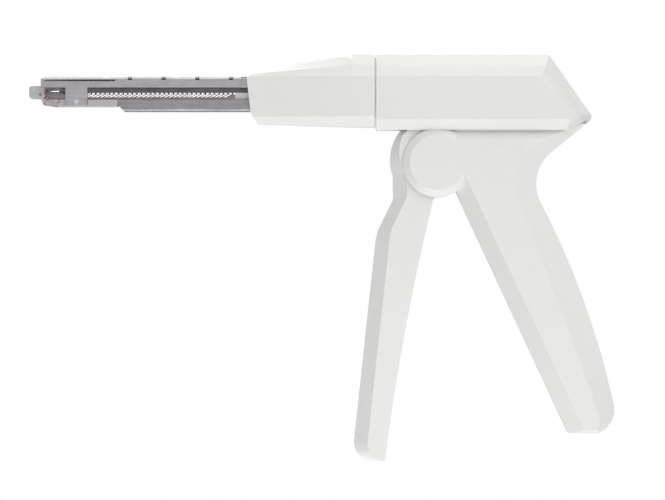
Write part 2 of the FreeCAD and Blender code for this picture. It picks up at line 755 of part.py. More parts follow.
def head_shell(label, side):
    """One moulded half of the turning head: holds the arm and carries the bearing collar."""
    piece = Piece(label)
    out = -side
    piece.loft(
        "AdditiveLoft",
        [
            head_outline(piece, side, at.nose_lip_x, 0),
            head_outline(piece, side, at.slope_x, 0),
        ],
    )
    piece.loft(
        "AdditiveLoft",
        [
            head_outline(piece, side, at.slope_x - 0.01, 0, level=True),
            head_outline(piece, side, head_back, 0, level=True),
        ],
    )

    # sloping front
    profile = piece.side_sketch(0)
    outline(
        profile,
        (at.nose_lip_x - 4, -at.nose_base_front - 4),
        (at.nose_toe_x + 0.5, -at.nose_base_front - 4),
        (at.nose_toe_x, -at.nose_base_front),
        (at.nose_chin_x, -at.nose_chin_drop),
        (at.nose_top_x - 0.4, at.nose_lip_z),
        (at.nose_top_x, at.nose_front_top + 3),
        (at.nose_lip_x - 4, at.nose_front_top + 3),
    )
    piece.pocket(profile, at.barrel_half + 2, out)

    # hollow between the ribs that hold the arm and the collar
    rib_front = at.rivet_back_x - at.mid_rib / 2
    rib_back = at.rivet_back_x + at.mid_rib / 2
    for first, last, level in (
        (at.nose_top_x + at.grip_rib, rib_front, False),
        (rib_back, at.slope_x, False),
        (at.slope_x - 0.01, head_back - at.back_rib, True),
    ):
        piece.loft(
            "SubtractiveLoft",
            [
                head_outline(piece, side, first, at.nose_wall, level),
                head_outline(piece, side, last, at.nose_wall, level),
            ],
        )

    # seat of the arm, and the way for the driver behind it
    profile = piece.end_sketch(at.nose_lip_x - 1)
    high = at.arm_half_height + at.arm_gap
    wide = at.arm_half + at.arm_gap
    box(profile, -wide, wide, -high, high)
    piece.pocket(profile, at.arm_back - at.nose_lip_x + 1.2, 1)
    profile = piece.end_sketch(at.nose_lip_x - 1)
    circle(profile, 0, 0, at.collar_bore)
    piece.pocket(profile, at.seam_x - at.nose_lip_x + 4, 1)

    # blind seats of the rear cross rivet
    profile = piece.side_sketch(0)
    circle(profile, at.rivet_back_x, -at.rivet_back_drop, at.rivet_radius)
    piece.pocket(profile, at.arm_half + at.arm_gap + at.rivet_grip, out)
    return piece


def collar(piece, side):
    """Bearing collar and flange on the back of the head."""
    for radius, start, length in (
        (at.collar_radius, head_back - 0.2, collar_back + 0.2 - head_back),
        (at.flange_radius, bay_front + at.end_play, at.flange_thick),
    ):
        profile = piece.end_sketch(start)
        half_disc(profile, side, radius)
        piece.pad(profile, length, 1)
    profile = piece.end_sketch(head_back - at.collar_hold)
    circle(profile, 0, 0, at.collar_bore)
    piece.pocket(profile, collar_back - head_back + at.collar_hold + 1, 1)


def turned(label, *steps):
    """A solid turned about the barrel axis from its half outline in X and Z."""
    piece = Piece(label)
    piece.revolve(outline(piece.side_sketch(0), *steps))
    return piece


def trigger_side(profile, inset):
    """Side outline of the trigger with its finger face drawn inset."""
    radius = at.head_radius - inset * 0.35
    return outline(
        profile,
        (*on_circle(pivot, radius, 143), radius),
        (at.throat_x - 0.1 + inset, pivot[1] - 4, radius - 0.9),
        (at.throat_x + inset, -at.throat_drop + inset * 0.2),
        (at.knuckle_x + inset, -at.knuckle_drop + inset * 0.2),
        (at.knuckle_x - 1.2 + inset, -at.knuckle_drop - 7, 32),
        (at.toe_x + inset, -at.toe_drop + inset * 0.2),
        (at.toe_x + 5.6 + inset * 0.4, -at.trigger_base + inset * 0.16, 6),
        (at.end_x, -at.trigger_base),
        (at.rear_x, -at.rear_drop, -at.rear_radius),
        (*on_circle(pivot, at.cheek_radius, -85),),
        (*on_circle(pivot, at.cheek_radius, 10), at.cheek_radius),
        (*on_circle(pivot, at.cheek_radius, 112), at.cheek_radius),
        (*on_circle(pivot, radius, 112),),
    )


def make_trigger():
    """Squeeze trigger: finger blade, round head, hub and the lever that drives the slide."""
    piece = Piece("trigger")
    core = at.trigger_half - at.finger_depth
    piece.pad(trigger_side(piece.side_sketch(0), Size.of(0)), core * 2, both=True)
    for side in (-1, 1):
        piece.loft(
            "AdditiveLoft",
            [
                trigger_side(piece.side_sketch(side * core), Size.of(0)),
                trigger_side(piece.side_sketch(side * at.trigger_half), at.finger_face),
            ],
        )

    # hollow behind the finger face and round the hub
    wall = at.finger_face
    inside = at.head_radius - at.trigger_wall
    profile = piece.side_sketch(0)
    outline(
        profile,
        (*on_circle(pivot, inside, 143), inside),
        (at.throat_x + wall, pivot[1] - 4, inside - 0.6),
        (at.throat_x + wall, -at.throat_drop),
        (at.knuckle_x + wall, -at.knuckle_drop),
        (at.toe_x + wall + 0.6, -at.trigger_base + 2.2),
        (pivot[0] + 14, -at.trigger_base + 2.2),
        (pivot[0] + 14, pivot[1] + inside - 0.2),
        (*on_circle(pivot, inside, 100),),
    )
    circle(profile, *pivot, at.hub_radius)
    piece.pocket(profile, (at.trigger_half - at.trigger_wall) * 2, both=True)

    # ribs across the blade
    fall = (at.rear_x - at.end_x) / (at.trigger_base - at.rear_drop)
    lead = (at.knuckle_x - at.toe_x) / (at.toe_drop - at.knuckle_drop)
    for step in range(5):
        drop = at.knuckle_drop + 6.5 + at.rib_pitch * step
        front = at.knuckle_x - (drop - at.knuckle_drop) * lead + wall * 0.7
        back = at.rear_x - (drop - at.rear_drop) * fall - 2.6
        profile = piece.side_sketch(0)
        box(profile, front, back, -drop - at.rib_thick, -drop)
        piece.pad(profile, (at.trigger_half - 0.8) * 2, both=True)

    # web, lever neck and its round nose
    profile = piece.side_sketch(0)
    outline(
        profile,
        (*on_circle(pivot, inside + 0.6, 185), inside + 0.6),
        (*on_circle(pivot, at.hub_radius, 265),),
        (*on_circle(pivot, at.hub_radius, 20), at.hub_radius),
        (*on_circle(pivot, inside * 0.62, lever_angle - 4),),
        (*on_circle(pivot, inside + 0.6, 113),),
    )
    piece.pad(profile, at.lever_half * 2, both=True)
    along = (cosine(lever_angle), sine(lever_angle))
    profile = piece.side_sketch(0)
    outline(
        profile,
        *(
            (
                pivot[0] + reach * along[0] + across * along[1],
                pivot[1] + reach * along[1] - across * along[0],
            )
            for reach, across in (
                (at.pin_radius + 1, at.lever_neck),
                (at.lever_length, at.lever_neck),
                (at.lever_length, -at.lever_neck),
                (at.pin_radius + 1, -at.lever_neck),
            )
        ),
    )
    piece.pad(profile, at.lever_half * 2, both=True)
    profile = piece.side_sketch(0)
    circle(profile, *lever_tip, at.nose_radius)
    piece.pad(profile, at.lever_half * 2, both=True)

    # bore for the pivot pin
    profile = piece.side_sketch(0)
    circle(profile, *pivot, at.pin_radius + at.pin_gap)
    piece.pocket(profile, (at.trigger_half + 1) * 2, both=True)
    return piece


def make_slide():
    """Drive slide: takes the lever's nose in a slot and pushes the rod's button at any turn of the head."""
    piece = Piece("drive_slide")
    profile = piece.side_sketch(0)
    box(profile, slide_front, slide_back, -at.slide_base, at.slide_top)
    piece.pad(profile, at.slide_half * 2, both=True)
    # slot for the lever
    profile = piece.side_sketch(0)
    box(profile, slot_front, slot_back, -at.slide_base - 1, lever_tip[1] + at.nose_radius + 0.8)
    piece.pocket(profile, (at.lever_half + 0.4) * 2, both=True)
    # grooves on the guide rails
    for side in (-1, 1):
        profile = piece.side_sketch(side * (at.rail_reach - at.guide_gap))
        rise = at.rail_half + at.guide_gap
        box(profile, slide_front - 1, slide_back + 1, -rise, rise)
        piece.pocket(profile, at.slide_half, -side)
    # open seat of the rod and its button
    neck = at.rod_radius + 0.15
    seat = at.button_radius + at.button_gap
    for start, length, radius in (
        (slide_front - 1, Size.of(4), neck),
        (slide_front + 1.6, at.button_thick + at.button_gap * 2, seat),
    ):
        profile = piece.end_sketch(start)
        circle(profile, 0, 0, radius)
        piece.pocket(profile, length, 1)
        profile = piece.end_sketch(start)
        box(profile, -radius, radius, 0, at.slide_top + 1)
        piece.pocket(profile, length, 1)
    # light weight recess behind
    profile = piece.end_sketch(slide_back - 3.2)
    box(profile, -at.slide_half + 2, at.slide_half - 2, at.rail_half, at.slide_top - 1.4)
    piece.pocket(profile, 4, 1)
    return piece


def make_rod():
    """Drive rod: round shank with a button behind, flattened in front where the driver is riveted on."""
    button = slide_front + 1.6 + at.button_gap
    piece = turned(
        "driver_rod",
        (at.rod_front, 0),
        (button + at.button_thick, 0),
        (button + at.button_thick, at.button_radius),
        (button, at.button_radius),
        (button, at.rod_radius),
        (at.rod_front, at.rod_radius),
    )
    profile = piece.side_sketch(0)
    box(profile, at.rod_front - 1, at.rod_front + at.lap_length, at.driver_low, at.rod_radius + 1)
    piece.pocket(profile, at.rod_radius * 4, both=True)
    for step in (0.27, 0.73):
        profile = piece.sketch("XY_Plane", at.driver_low - 0.3)
        circle(profile, at.rod_front + at.lap_length * step, 0, at.rivet_radius)
        piece.pad(profile, at.driver_thick + 0.3, 1)
    return piece


def make_driver():
    """Flat steel driver that pushes the staple against the anvil."""
    piece = Piece("driver_strip")
    end = at.rod_front + at.lap_length - 0.2
    bend = 0.6
    profile = piece.sketch("XY_Plane", at.driver_low)
    outline(
        profile,
        (end, -at.driver_half + bend), (end, at.driver_half - bend), (end - bend, at.driver_half),
        (at.driver_front, at.driver_half), (at.driver_front, at.anvil_half + 0.15),
        (at.driver_front + 2.4, at.anvil_half + 0.15), (at.driver_front + 2.4, -at.anvil_half - 0.15),
        (at.driver_front, -at.anvil_half - 0.15), (at.driver_front, -at.driver_half),
        (end - bend, -at.driver_half),
    )
    for step in (0.27, 0.73):
        circle(profile, at.rod_front + at.lap_length * step, 0, at.rivet_radius)
    piece.pad(profile, at.driver_thick, 1)
    return piece


def make_pin():
    piece = Piece("pivot_pin")
    reach = at.grip_half - 0.62
    profile = piece.side_sketch(0)
    circle(profile, *pivot, at.pin_radius)
    piece.pad(profile, reach * 2, both=True)
    return piece


def ring(profile, x, z, radius, corners):
    """A regular polygon, for round wire."""
    points = [on_circle((Size.of(x), Size.of(z)), radius, 360 / corners * (k + 0.5)) for k in range(corners)]
    return outline(profile, *points)


def make_return_spring():
    """Torsion spring round the trigger's hub, one leg on the housing, one down the blade."""
    piece = Piece("trigger_return_spring")
    radius = at.coil_wire / 2
    profile = piece.sketch("XY_Plane", pivot[1], (pivot[0], at.coil_start))
    ring(profile, -at.coil_radius, 0, radius, 6)
    piece.helix(profile, "V_Axis", at.coil_pitch, at.coil_turns)
    profile = piece.sketch("XY_Plane", pivot[1])
    ring(profile, pivot[0] - at.coil_radius, at.coil_start, radius, 6)
    piece.pad(profile, at.leg_down, -1)
    profile = piece.end_sketch(pivot[0])
    ring(profile, at.coil_start + at.coil_pitch * at.coil_turns, pivot[1] + at.coil_radius, radius, 6)
    piece.pad(profile, at.leg_up, 1)
    return piece


def make_washer():
    piece = Piece("drag_washer")
    profile = piece.end_sketch(bay_back - at.washer_thick)
    circle(profile, 0, 0, at.flange_radius)
    circle(profile, 0, 0, at.collar_radius + 0.2)
    piece.pad(profile, at.washer_thick, 1)
    return piece


def cross_holes(piece, *holes):
    for x, drop in holes:
        profile = piece.side_sketch(0)
        circle(profile, x, -drop, at.rivet_radius)
        piece.pocket(profile, at.arm_half * 4, both=True)


FRONT_RIVET = (at.rivet_front_x, at.rivet_front_drop)
BACK_RIVET = (at.rivet_back_x, at.rivet_back_drop)


def round_folds(piece, height, up):
    """Rounds the two long outer edges of a folded sheet, above (up 1) or below (up -1)."""
    profile = piece.end_sketch(-1)
    flat = at.arm_half - at.fold
    for side in (-1, 1):
        start = (side * flat, height)
        end = (side * at.arm_half, height - up * at.fold)
        turn = at.fold * (-side * up)
        outline(
            profile,
            (side * flat, height + up),
            (side * (at.arm_half + 1), height + up),
            (side * (at.arm_half + 1), height - up * at.fold),
            end,
            (*start, -turn),
        )
    piece.pocket(profile, at.arm_back + 2, 1)


def make_top_rail():
    """Upper rail of the arm: folded sheet, open below, with index notches and a sight slot."""
    piece = Piece("top_rail")
    high = at.arm_half_height
    profile = piece.side_sketch(0)
    outline(
        profile,
        (at.top_front, at.top_flange), (at.post_front, at.top_flange),
        (at.post_front, -at.frame_step), (at.post_front + at.post_length, -at.frame_step),
        (at.post_front + at.post_length, at.top_flange), (at.top_back, at.top_flange),
        (at.top_back, high - at.sheet), (at.top_back + at.tang_length, high - at.sheet),
        (at.top_back + at.tang_length, high), (at.top_front + 0.8, high), (at.top_front, high - 0.8),
    )
    piece.pad(profile, at.arm_half * 2, both=True)
    profile = piece.side_sketch(0)
    box(profile, at.top_front - 1, at.top_back + 0.01, -at.frame_step - 1, high - at.sheet)
    piece.pocket(profile, inner_half * 2, both=True)
    for side in (-1, 1):
        profile = piece.sketch("XY_Plane", high - at.sheet - 1)
        tang_end = at.top_back + at.tang_length + 1
        box(profile, at.top_back, tang_end, side * at.tang_half, side * (at.arm_half + 1))
        piece.pocket(profile, 3, 1)
    # index notches and sight slot, in the left side only
    profile = piece.sketch("XY_Plane", high - at.notch_depth)
    for step in range(4):
        start = at.notch_first + at.notch_pitch * step
        box(profile, start, start + at.notch_length, 0.5 - inner_half, -at.arm_half - 1)
    piece.pocket(profile, 3, 1)
    profile = piece.side_sketch(0)
    sight = at.top_front + 1.2
    box(profile, sight, sight + at.sight_length, at.sight_z, at.sight_z + at.sight_height)
    piece.pocket(profile, at.arm_half + 1, 1)
    round_folds(piece, high, 1)
    cross_holes(piece, FRONT_RIVET)
    return piece


def make_channel():
    """Lower channel of the arm: folded sheet, open above."""
    piece = Piece("arm_channel")
    low = -at.arm_half_height
    cut = at.channel_chamfer
    profile = piece.side_sketch(0)
    outline(
        profile,
        (at.channel_front + cut, low), (at.arm_back, low), (at.arm_back, -at.channel_edge),
        (at.channel_front, -at.channel_edge), (at.channel_front, low + cut),
    )
    piece.pad(profile, at.arm_half * 2, both=True)
    profile = piece.side_sketch(0)
    box(profile, at.channel_front - 1, at.arm_back + 1, low + at.sheet, -at.channel_edge + 1)
    piece.pocket(profile, inner_half * 2, both=True)
    round_folds(piece, low, -1)
    cross_holes(piece, BACK_RIVET)
    return piece


def make_frame():
    """Front frame: guard cheeks beside the anvil, and a floor under the front of the track."""
    piece = Piece("head_frame")
    profile = piece.side_sketch(0)
    outline(
        profile,
        (0.6, -at.cheek_low), (0, -at.cheek_low + 0.6), (0, at.cheek_top - 0.6), (0.6, at.cheek_top),
        (at.top_front - 0.1, at.cheek_top), (at.top_front - 0.1, at.top_flange),
        (at.cheek_length, at.top_flange), (at.cheek_length, -0.3), (at.cheek_length + 1.4, -at.channel_edge),
        (at.channel_front, -at.channel_edge), (at.channel_front, -at.frame_floor),
        (at.cheek_length + 3, -at.frame_floor), (at.cheek_length - 0.3, -at.frame_step),
        (at.cheek_length - 1.2, -at.cheek_low),
    )
    piece.pad(profile, at.arm_half * 2, both=True)
    profile = piece.side_sketch(0)
    box(profile, -1, at.channel_front + 1, -at.frame_floor + at.sheet, at.cheek_top + 1)
    piece.pocket(profile, inner_half * 2, both=True)
    for side in (-1, 1):
        profile = piece.side_sketch(side * (inner_half - 0.2))
        box(
            profile, at.post_front - 0.1, at.post_front + at.post_length + 0.1,
            -at.frame_step, -at.channel_edge + 1,
        )
        piece.pocket(profile, at.sheet + 1, -side)
    return piece


def make_track():
    """Staple track: folded rail that the staples straddle, slotted for the pusher, ending in the anvil."""
    piece = Piece("anvil_rail")
    top = -at.track_top
    profile = piece.side_sketch(0)
    box(profile, at.anvil_back + 1, at.arm_back, -at.track_base, top)
    piece.pad(profile, at.track_half * 2, both=True)
    profile = piece.side_sketch(0)
    outline(
        profile,
        (at.anvil_front, top - at.sheet), (at.anvil_back + 2, top - at.sheet), (at.anvil_back + 2, top),
        (at.anvil_back + 1, top),
        (at.anvil_back, at.anvil_shelf),
        (at.anvil_front + at.anvil_lip, at.anvil_shelf),
        (at.anvil_front + at.anvil_lip, at.anvil_top), (at.anvil_front, at.anvil_top),
    )
    piece.pad(profile, at.anvil_half * 2, both=True)
    profile = piece.side_sketch(0)
    outline(
        profile,
        (at.keel_front, top - at.sheet + 0.1),
        (at.keel_front + 1.2, -at.track_base),
        (at.anvil_back + 2, -at.track_base),
        (at.anvil_back + 2, top - at.sheet + 0.1),
    )
    piece.pad(profile, at.anvil_half * 2, both=True)
    profile = piece.side_sketch(0)
    box(profile, at.anvil_back + 1.5, at.arm_back + 1, -at.track_base - 1, top - at.sheet)
    piece.pocket(profile, (at.track_half - at.sheet) * 2, both=True)
    profile = piece.sketch("XY_Plane", top - at.sheet - 1)
    box(profile, at.post_front + at.post_length, at.rivet_back_x - 3, -0.7, 0.7)
    piece.pocket(profile, 3, 1)
    cross_holes(piece, FRONT_RIVET, BACK_RIVET)
    return piece


def make_rivets():
    """Two cross rivets: the front one holds rail, frame and track, the rear one the arm in the head."""
    piece = Piece("arm_rivets")
    for hole, reach in (
        (FRONT_RIVET, at.arm_half + 0.25),
        (BACK_RIVET, at.arm_half + at.arm_gap + at.rivet_grip),
    ):
        profile = piece.side_sketch(0)
        circle(profile, hole[0], -hole[1], at.rivet_radius)
        piece.pad(profile, reach * 2, both=True)
    return piece


def make_pusher():
    """Staple pusher: a saddle on the track with a tab through its slot for the spring."""
    piece = Piece("staple_pusher")
    low = -at.track_base + 0.1
    top = -at.track_top
    profile = piece.side_sketch(0)
    box(profile, pusher_front, pusher_front + at.pusher_length, low, at.pusher_top)
    piece.pad(profile, at.pusher_half * 2, both=True)
    profile = piece.side_sketch(0)
    box(profile, pusher_front - 1, pusher_front + at.pusher_length + 1, low - 1, top + at.pusher_gap)
    piece.pocket(profile, (at.track_half + at.pusher_gap) * 2, both=True)
    start = pusher_front + at.pusher_length - at.foot_length
    profile = piece.side_sketch(0)
    box(profile, start, start + at.foot_length, low, top + 0.3)
    piece.pad(profile, 1.2, both=True)
    profile = piece.side_sketch(0)
    box(profile, start, start + at.foot_length, low, top - at.sheet - at.pusher_gap)
    piece.pad(profile, (at.track_half - at.sheet - at.pusher_gap) * 2, both=True)
    return piece


def make_feed_spring():
    """Pusher spring: a coil in the track from the pusher's tab back to the rear rivet."""
    piece = Piece("pusher_spring")
    start = pusher_front + at.pusher_length
    end = at.rivet_back_x - at.rivet_radius
    radius = at.feed_wire / 2
    run = end - start - at.feed_wire
    profile = piece.sketch("XY_Plane", feed_z, (start + radius, 0))
    ring(profile, 0, at.feed_radius, radius, 4)
    piece.helix(profile, "H_Axis", run / at.feed_turns, at.feed_turns)
    return piece


def staple_path(height, lean, crown):
    """Centre line of a staple: two legs and a crown, as six points with cut corners."""
    cut = at.staple_bend.value * 0.6
    half = at.staple_half.value - at.wire.value / 2
    leg = at.leg_length.value
    back = at.wire.value / 2
    angle = math.radians(lean)
    points = []
    for across, along in (
        (-half, leg),
        (-half, back + cut),
        (-half + cut, back),
        (half - cut, back),
        (half, back + cut),
        (half, leg),
    ):
        points.append(
            FreeCAD.Vector(crown - along * math.cos(angle), across, height - along * math.sin(angle))
        )
    return points


def staple(height, lean, crown):
    """One staple of round wire, drawn with eight flats, from its centre line."""
    points = staple_path(height, lean, crown)
    across = FreeCAD.Vector(math.sin(math.radians(lean)), 0, -math.cos(math.radians(lean)))
    sections = []
    for i, point in enumerate(points):
        before = (point - points[i - 1]).normalize() if i else None
        after = (points[i + 1] - point).normalize() if i < len(points) - 1 else None
        heading = before + after if before and after else before or after
        heading.normalize()
        inward = across.cross(heading)
        stretch = 1.0 if not (before and after) else 1.0 / heading.dot(before)
        corners = []
        for k in range(6):
            turn = math.radians(60 * k + 30)
            corners.append(
                point
                + across * (math.cos(turn) * at.wire.value / 2)
                + inward * (math.sin(turn) * at.wire.value / 2 * stretch)
            )
        sections.append(corners)
    faces = [Part.Face(Part.makePolygon(sections[0] + sections[0][:1]))]
    for low, high in zip(sections, sections[1:]):
        for k in range(6):
            n = (k + 1) % 6
            faces.append(Part.Face(Part.makePolygon([low[k], low[n], high[n], high[k], low[k]])))
    faces.append(Part.Face(Part.makePolygon(sections[-1] + sections[-1][:1])))
    return Part.Solid(Part.Shell(faces))


def make_staples(label, solids):
    """Staples as one compound of separate solids."""
    made = doc.addObject("Part::Feature", label)
    made.Label = label
    made.Shape = Part.makeCompound(solids)
    return made


def staple_row():
    """The staples that lean in a row on the track."""
    solids = []
    for step in range(round(at.staple_count.value)):
        crown = at.row_front.value + at.staple_pitch.value * step
        solids.append(staple(at.staple_height.value, at.staple_lean.value, crown))
    return make_staples("staple_row", solids)


def chambered_staple():
    """The staple that lies flat between driver and anvil."""
    crown = at.driver_front.value - at.chamber_gap.value
    return make_staples("chambered_staple", [staple(at.chamber_height.value, 0.0, crown)])


left_shell = housing_shell("body_shell_left", -1)
right_shell = housing_shell("body_shell_right", 1)
left_head = head_shell("nose_shell_left", -1)
collar(left_head, -1)
right_head = head_shell("nose_shell_right", 1)
collar(right_head, 1)

PIECES = [
    left_shell, right_shell, left_head, right_head, make_trigger(), make_slide(), make_rod(), make_driver(),
    make_pin(), make_return_spring(), make_washer(), make_top_rail(), make_channel(), make_frame(),
    make_track(), make_rivets(), make_pusher(), make_feed_spring(),
]
finished = [(piece.label, piece.body) for piece in PIECES]
finished += [(made.Label, made) for made in (staple_row(), chambered_staple())]

doc.recompute()
os.makedirs("parts", exist_ok=True)
for made in doc.Objects:
    if "Invalid" in made.State or "Error" in made.State:
        raise RuntimeError(f"{made.Name} could not be made")
for label, made in finished:
    shape = made.Shape
    if shape.isNull() or not shape.isValid():
        raise RuntimeError(f"{label} is not a sound solid")
    shape.exportStep(f"parts/{label}.step")
    box_ = shape.BoundBox
    print(label, round(shape.Volume), len(shape.Solids), *(round(v, 1) for v in (
        box_.XMin, box_.XMax, box_.YMin, box_.YMax, box_.ZMin, box_.ZMax)))
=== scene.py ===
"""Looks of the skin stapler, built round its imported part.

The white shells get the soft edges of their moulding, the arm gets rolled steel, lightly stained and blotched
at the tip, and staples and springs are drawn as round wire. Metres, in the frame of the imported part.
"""

import math

import bmesh
import bpy
from mathutils import Matrix, Vector


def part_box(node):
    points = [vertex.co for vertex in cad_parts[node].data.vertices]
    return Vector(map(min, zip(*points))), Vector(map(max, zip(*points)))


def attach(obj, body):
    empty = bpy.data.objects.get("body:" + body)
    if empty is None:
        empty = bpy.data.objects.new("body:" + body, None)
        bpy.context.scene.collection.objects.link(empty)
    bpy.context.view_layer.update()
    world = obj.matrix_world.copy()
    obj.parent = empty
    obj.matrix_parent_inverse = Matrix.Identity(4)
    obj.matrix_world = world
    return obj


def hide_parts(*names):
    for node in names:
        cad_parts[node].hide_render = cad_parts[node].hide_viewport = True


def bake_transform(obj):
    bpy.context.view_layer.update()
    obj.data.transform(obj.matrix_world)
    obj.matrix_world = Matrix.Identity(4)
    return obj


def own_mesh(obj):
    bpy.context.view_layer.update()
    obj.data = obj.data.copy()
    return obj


MM = 0.001

# The photograph: its points, millimetres for each of them, and where the object's origin lies in it
PICTURE = (665, 500)
MM_PER_POINT = 0.32
ORIGIN_AT = (30.0, 94.5)

# The camera: its distance, its sensor in millimetres, and the nearest and farthest that it sees
CAMERA_AWAY = 1.6
SENSOR_WIDTH = 36
CLIP_START = 0.01
CLIP_END = 50

# Cleaning the part's meshes: points welded within a distance, faces joined within an angle
WELD_WITHIN = 1e-6
FLAT_WITHIN = math.radians(0.6)

# Rounding of edges: its width on each kind of piece, the angle that an edge needs for it, and its steps. Then
# the angle from which shading stays sharp, and how much the large faces rule the shading
SHELL_EDGE = 0.45 * MM
TRIGGER_EDGE = 0.55 * MM
SHEET_EDGE = 0.09 * MM
WASHER_EDGE = SHEET_EDGE * 0.5
TURNED_EDGE = 0.18 * MM
ROD_EDGE = TURNED_EDGE * 0.6
ROUND_FROM = math.radians(24)
ROUND_STEPS = 3
SHARP_FROM = math.radians(38)
FLAT_WEIGHT = 60

# Depth of the grain in the surfaces, and its stretch along X, Y and Z in rolled sheet and drawn wire
PLASTIC_RELIEF = 0.05 * MM
STEEL_RELIEF = 0.02 * MM
ROLLED = (0.12, 1.68, 1.68)
DRAWN = (0.48, 0.48, 0.48)

# Brownish tint and dark specks along X: none on the tab in front, full behind it, and fading out further back
TAB_PLAIN_TO = 1.8 * MM
TINT_FULL_FROM = 4.4 * MM
TINT_FULL_TO = 7.5 * MM
TINT_NONE_FROM = 13.0 * MM

# Thin sheets as corners in millimetres: behind the top rail on both sides, and inside the right cheek. Their
# edges are rounded by this share of the thinnest sheet's thickness
RAIL_TAIL = (((67.7, -4.28, 2.12), (70.0, -3.74, 5.02)), ((67.7, 3.74, 2.12), (70.0, 4.28, 5.02)))
CHEEK_LINER = (((4.6, 3.56, -0.6), (13.2, 3.68, 2.55)),)
SHEET_ROUNDED = 0.2

# Lip in the joint between head and housing: right half of its outline in millimetres, its faces, its hole and
# the degrees between the points that round it
LIP_CORNERS = ((8.1, -10.8), (10.2, -7.9), (10.2, 5.35), (8.0, 8.5), (2.3, 11.8))
LIP_FRONT = 110.36 * MM
LIP_BACK = 110.74 * MM
LIP_HOLE = 7.6 * MM
LIP_STEP = 5

# Slack where a ray meets an outline: below this cross product the two are parallel, and a side may reach this
# share too far
PARALLEL = 1e-9
SIDE_SLACK = 1e-6

# Staples, as the part has them: wire, half of the width, leg, bend, lean in degrees, pitch and number, and
# their places along X and up Z
WIRE = 0.53 * MM
STAPLE_HALF = 3.45 * MM
STAPLE_LEG = 3.9 * MM
STAPLE_BEND = 0.75 * MM
STAPLE_LEAN = 24.0
STAPLE_PITCH = 1.46 * MM
STAPLE_COUNT = 34
ROW_FRONT = 17.0 * MM
ROW_HEIGHT = 0.33 * MM
CHAMBER_CROWN = 10.14 * MM
CHAMBER_HEIGHT = 0.9 * MM

# A staple's wire: points in a bend and in all, and sides of its round. Its ends are chisel points, which
# start at this distance from the middle, as a share of the wire's length, and end this thin
BEND_POINTS = 5
WIRE_POINTS = 46
WIRE_SIDES = 10
CHISEL_FROM = 0.43
CHISEL_END = 0.12

# Torsion spring round the trigger's hub, and how far from the pivot it is fast on housing and trigger
PIVOT = Vector((130.2 * MM, 0, -21.9 * MM))
COIL_RADIUS = 5.25 * MM
COIL_WIRE = 0.8 * MM
COIL_TURNS = 3.25
COIL_STEPS = 32
COIL_PITCH = 0.82 * MM
COIL_START = 2.45 * MM
COIL_LEG_DOWN = 13.0 * MM
COIL_LEG_BACK = 7.6 * MM

# Coil spring in the staple track, with one closed turn at each end
FEED_RADIUS = 1.0 * MM
FEED_WIRE = 0.35 * MM
FEED_TURNS = 11.0
FEED_STEPS = 20
FEED_CLOSED_PITCH = FEED_WIRE * 1.02
SPRING_ROUNDNESS = 3

# Studio: the point that the soft boxes face, their place, width, height and watts, the fill from all round,
# and the floor's middle, half width and white
LIT_POINT = Vector((0.10, 0, -0.03))
SOFT_BOXES = (
    ("light_front_high", (0.10, -0.60, 0.50), 0.35, 0.35, 0.75),
    ("light_front_low", (0.10, -0.55, -0.42), 0.35, 0.30, 1.3),
    ("light_overhead", (0.12, -0.12, 0.75), 0.50, 0.40, 1.55),
    ("light_underneath", (0.12, -0.12, -0.45), 0.50, 0.30, 0.9),
    ("light_right", (0.48, -0.35, 0.50), 0.35, 0.35, 1.9),
    ("light_behind", (0.10, 0.60, 0.40), 0.50, 0.35, 2.0),
)
WORLD_FILL = 0.3
FLOOR_MIDDLE = (0.1, 0, -0.52)
FLOOR_HALF = 1.4
FLOOR_WHITE = 0.92

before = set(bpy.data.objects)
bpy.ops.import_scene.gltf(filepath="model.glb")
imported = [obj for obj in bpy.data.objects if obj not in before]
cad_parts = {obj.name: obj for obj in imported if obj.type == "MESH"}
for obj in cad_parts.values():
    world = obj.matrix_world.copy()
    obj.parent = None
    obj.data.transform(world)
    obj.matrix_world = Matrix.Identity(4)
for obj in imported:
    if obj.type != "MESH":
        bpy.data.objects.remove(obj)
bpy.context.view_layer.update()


# Node trees


class Tap:
    """A node's output that can be added, subtracted, multiplied and clamped like a number."""

    def __init__(self, nodes, socket):
        self.nodes = nodes
        self.socket = socket

    def __add__(self, other):
        return self.nodes.maths("ADD", self, other)

    def __radd__(self, other):
        return self.nodes.maths("ADD", other, self)

    def __sub__(self, other):
        return self.nodes.maths("SUBTRACT", self, other)

    def __mul__(self, other):
        return self.nodes.maths("MULTIPLY", self, other)

    def clamp(self):
        return self.nodes.node("ShaderNodeClamp", Value=self, Min=0.0, Max=1.0)


class Nodes:
    """A node tree, with calls that add a node and fill its sockets with numbers or with taps."""

    def __init__(self, tree):
        self.tree = tree

    def fill(self, socket, value):
        if isinstance(value, Tap):
            self.tree.links.new(value.socket, socket)
        else:
            socket.default_value = value

    def node(self, kind, settings=None, output=0, **values):
        """Adds a node with its settings, and fills the sockets that the values name, with _ for a space."""
        made = self.tree.nodes.new(kind)
        for setting, value in (settings or {}).items():
            setattr(made, setting, value)
        for name, value in values.items():
            self.fill(made.inputs[name.replace("_", " ")], value)
        return Tap(self, made.outputs[output])

    def maths(self, operation, *values):
        made = self.tree.nodes.new("ShaderNodeMath")
        made.operation = operation
        for socket, value in zip(made.inputs, values):
            self.fill(socket, value)
        return Tap(self, made.outputs[0])

    def spread(self, value, low, high, to_low=0.0, to_high=1.0):
        """Maps low..high to to_low..to_high, and holds what lies outside."""
        return self.node(
            "ShaderNodeMapRange", Value=value, From_Min=low, From_Max=high, To_Min=to_low, To_Max=to_high
        )


